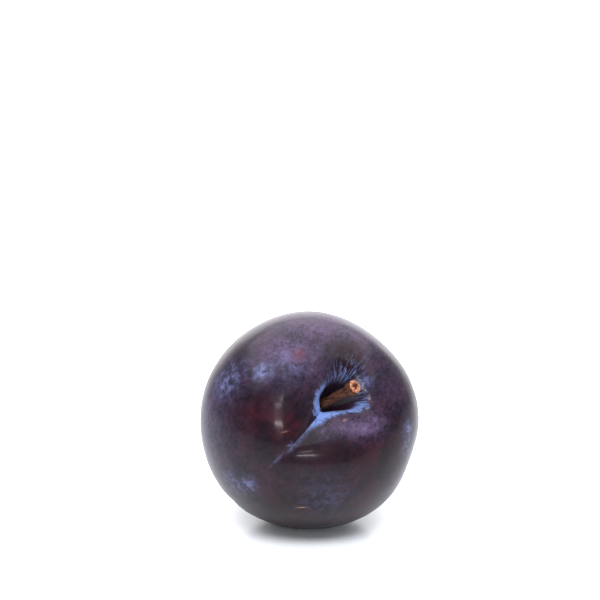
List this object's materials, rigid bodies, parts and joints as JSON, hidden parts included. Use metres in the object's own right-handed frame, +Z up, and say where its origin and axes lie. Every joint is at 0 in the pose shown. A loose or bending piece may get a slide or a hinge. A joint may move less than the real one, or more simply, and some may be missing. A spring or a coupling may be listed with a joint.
{
  "type": "plum",
  "caption": "Whole dark plum lying on its side on a small flat spot, with a deep stalk cavity, a suture groove and a short woody stem.",
  "frame": {"origin": "on the resting surface, under the middle of the plum's outline", "axes": "+Z up, as the plum lies; the stem leans towards -Y and a little towards +X; +X to the right when the stem faces the viewer"},
  "size_m": [0.0578, 0.0564, 0.0571],
  "materials": {
    "skin": "smooth dark purple fruit skin with a patchy blue waxy bloom",
    "stem_wood": "matt brown bark with a paler broken end"
  },
  "bodies": {
    "root": {"fruit": "skin", "stem": "stem_wood"}
  },
  "joints": []
}
